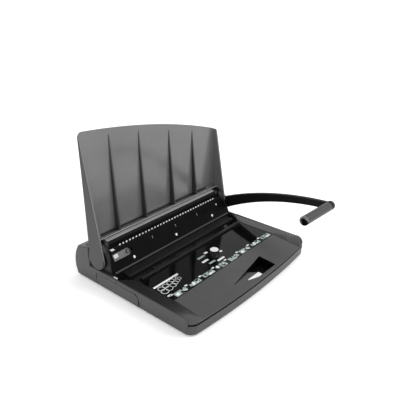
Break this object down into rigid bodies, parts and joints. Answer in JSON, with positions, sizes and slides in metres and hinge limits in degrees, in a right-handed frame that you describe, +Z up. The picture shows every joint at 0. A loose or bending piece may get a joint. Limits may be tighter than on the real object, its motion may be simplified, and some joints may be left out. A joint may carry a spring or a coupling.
{
  "type": "wire binding machine",
  "caption": "Desk-top manual wire binding machine with a tilting lid as paper rest, a side lever that punches and closes wire, a chip drawer and a selector knob.",
  "frame": {"origin": "on the table, under the middle of the tooth row, on the underside of the middle foot", "axes": "+X to the right along the tooth row, +Y to the back, +Z up; the user sits at -Y"},
  "size_m": [0.381, 0.358, 0.2994],
  "materials": {
    "charcoal_plastic": "satin",
    "black_plastic": "gloss",
    "grey_plastic": "satin",
    "white_plastic": "gloss",
    "grey_bar": "satin",
    "rubber": "matte",
    "soft_grip": "matte",
    "black_steel": "satin",
    "bright_steel": "bright",
    "steel": "brushed",
    "bronze": "satin"
  },
  "bodies": {
    "chassis": {"base_pan": "charcoal_plastic", "base_housing": "charcoal_plastic", "rear_cover": "charcoal_plastic", "rubber_feet": "rubber", "base_screws": "bright_steel", "deck_plate": "black_plastic", "punch_panel": "black_plastic", "panel_screws": "bright_steel", "end_cheeks": "charcoal_plastic", "side_frames": "steel", "die_plate": "steel", "guide_plate": "black_plastic", "hook_comb": "bright_steel", "top_bar": "grey_bar", "bar_brackets": "black_plastic", "shaft_bushes": "bronze", "lid_pivot_pin": "steel", "return_spring": "steel", "closer_rear_rail": "black_plastic", "knob_bush": "bronze"},
    "lid": {"lid_shell": "charcoal_plastic", "lid_ribs": "charcoal_plastic"},
    "lever": {"drive_shaft": "steel", "lever_arm": "black_steel", "lever_screw": "black_plastic", "grip_core": "steel", "lever_grip": "soft_grip", "grip_end_cap": "black_plastic", "punch_cranks": "steel", "closer_cranks": "steel"},
    "punch": {"punch_bar": "steel", "punch_pins": "bright_steel"},
    "closer": {"closer_bar": "black_steel", "closer_rods": "steel"},
    "selector": {"selector_knob": "black_plastic", "knob_cap": "white_plastic", "knob_spindle": "steel"},
    "guide": {"edge_guide": "grey_plastic", "guide_knob": "bright_steel"},
    "drawer": {"chip_drawer": "charcoal_plastic"}
  },
  "joints": [
    {"name": "lid_hinge", "type": "hinge", "parent": "chassis", "child": "lid", "pos_m": [0, 0.0185, 0.059], "axis": [1, 0, 0], "range_deg": [0, 99.6]},
    {"name": "lever_hinge", "type": "hinge", "parent": "chassis", "child": "lever", "pos_m": [0, 0.0185, 0.059], "axis": [1, 0, 0], "range_deg": [0, 20], "stiffness_Nm_per_rad": 5, "springref_deg": -40.11},
    {"name": "punch_slide", "type": "slide", "parent": "chassis", "child": "punch", "axis": [0, -1, 0], "range_m": [0, 0.0053]},
    {"name": "closer_slide", "type": "slide", "parent": "chassis", "child": "closer", "axis": [0, 1, 0], "range_m": [0, 0.0083]},
    {"name": "selector_turn", "type": "hinge", "parent": "chassis", "child": "selector", "pos_m": [0, -0.117, 0.033], "axis": [0, 0, 1], "range_deg": [-120, 120]},
    {"name": "guide_slide", "type": "slide", "parent": "chassis", "child": "guide", "axis": [1, 0, 0], "range_m": [0, 0.012]},
    {"name": "drawer_slide", "type": "slide", "parent": "chassis", "child": "drawer", "axis": [-1, 0, 0], "range_m": [0, 0.2]}
  ],
  "couplings": [
    {"joint": "punch_slide", "follows": "lever_hinge", "m_per_rad": 0.014897},
    {"joint": "closer_slide", "follows": "lever_hinge", "m_per_rad": 0.023491}
  ]
}
